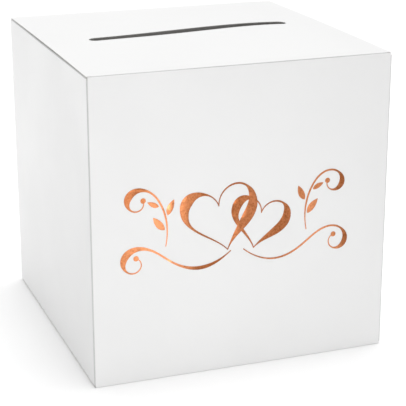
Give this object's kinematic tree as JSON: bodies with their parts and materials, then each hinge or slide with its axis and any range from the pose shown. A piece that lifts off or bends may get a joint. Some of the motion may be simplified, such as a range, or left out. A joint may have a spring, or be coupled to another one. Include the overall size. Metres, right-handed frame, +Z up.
{
  "type": "wedding card box",
  "caption": "Folded white paperboard card box with an envelope slot in its tuck lid, a tuck base and a rose-gold foil ornament of linked hearts.",
  "frame": {"origin": "middle of the footprint, on the surface that the box stands on", "axes": "+Z up, the foil-stamped front faces -Y, +X to the right as seen from the front"},
  "size_m": [0.24, 0.2401, 0.24],
  "materials": {
    "white_board": "satin",
    "rose_foil": "satin",
    "adhesive": "gloss"
  },
  "bodies": {
    "sleeve": {"front_wall": "white_board", "left_wall": "white_board", "right_wall": "white_board", "back_wall": "white_board", "glue_flap": "white_board", "seam_adhesive": "adhesive", "foil_hearts": "rose_foil", "foil_scroll_left": "rose_foil", "foil_scroll_right": "rose_foil", "foil_spray_left": "rose_foil", "foil_spray_right": "rose_foil", "foil_leaf_left_1": "rose_foil", "foil_leaf_left_2": "rose_foil", "foil_leaf_left_3": "rose_foil", "foil_leaf_right_1": "rose_foil", "foil_leaf_right_2": "rose_foil", "foil_leaf_right_3": "rose_foil"},
    "lid": {"lid_panel": "white_board"},
    "lid_tuck": {"lid_tuck_flap": "white_board"},
    "lid_dust_left": {"lid_dust_flap_left": "white_board"},
    "lid_dust_right": {"lid_dust_flap_right": "white_board"},
    "base": {"base_panel": "white_board"},
    "base_tuck": {"base_tuck_flap": "white_board"},
    "base_dust_left": {"base_dust_flap_left": "white_board"},
    "base_dust_right": {"base_dust_flap_right": "white_board"}
  },
  "joints": [
    {"name": "lid_hinge", "type": "hinge", "parent": "sleeve", "child": "lid", "pos_m": [0, 0.1197, 0.2397], "axis": [-1, 0, 0], "range_deg": [0, 180]},
    {"name": "lid_tuck_fold", "type": "hinge", "parent": "lid", "child": "lid_tuck", "pos_m": [0, -0.1188, 0.2397], "axis": [1, 0, 0], "range_deg": [0, 30]},
    {"name": "lid_dust_left_fold", "type": "hinge", "parent": "sleeve", "child": "lid_dust_left", "pos_m": [-0.1197, 0, 0.2388], "axis": [0, -1, 0], "range_deg": [0, 110]},
    {"name": "lid_dust_right_fold", "type": "hinge", "parent": "sleeve", "child": "lid_dust_right", "pos_m": [0.1197, 0, 0.2388], "axis": [0, 1, 0], "range_deg": [0, 110]},
    {"name": "base_hinge", "type": "hinge", "parent": "sleeve", "child": "base", "pos_m": [0, 0.1197, 0.0003], "axis": [1, 0, 0], "range_deg": [0, 180]},
    {"name": "base_tuck_fold", "type": "hinge", "parent": "base", "child": "base_tuck", "pos_m": [0, -0.1188, 0.0003], "axis": [-1, 0, 0], "range_deg": [0, 30]},
    {"name": "base_dust_left_fold", "type": "hinge", "parent": "sleeve", "child": "base_dust_left", "pos_m": [-0.1197, 0, 0.0012], "axis": [0, 1, 0], "range_deg": [0, 110]},
    {"name": "base_dust_right_fold", "type": "hinge", "parent": "sleeve", "child": "base_dust_right", "pos_m": [0.1197, 0, 0.0012], "axis": [0, -1, 0], "range_deg": [0, 110]}
  ],
  "couplings": [
    {"joint": "lid_dust_left_fold", "follows": "lid_hinge", "ratio": 0.6},
    {"joint": "lid_dust_right_fold", "follows": "lid_hinge", "ratio": 0.6},
    {"joint": "base_dust_left_fold", "follows": "base_hinge", "ratio": 0.6},
    {"joint": "base_dust_right_fold", "follows": "base_hinge", "ratio": 0.6}
  ]
}
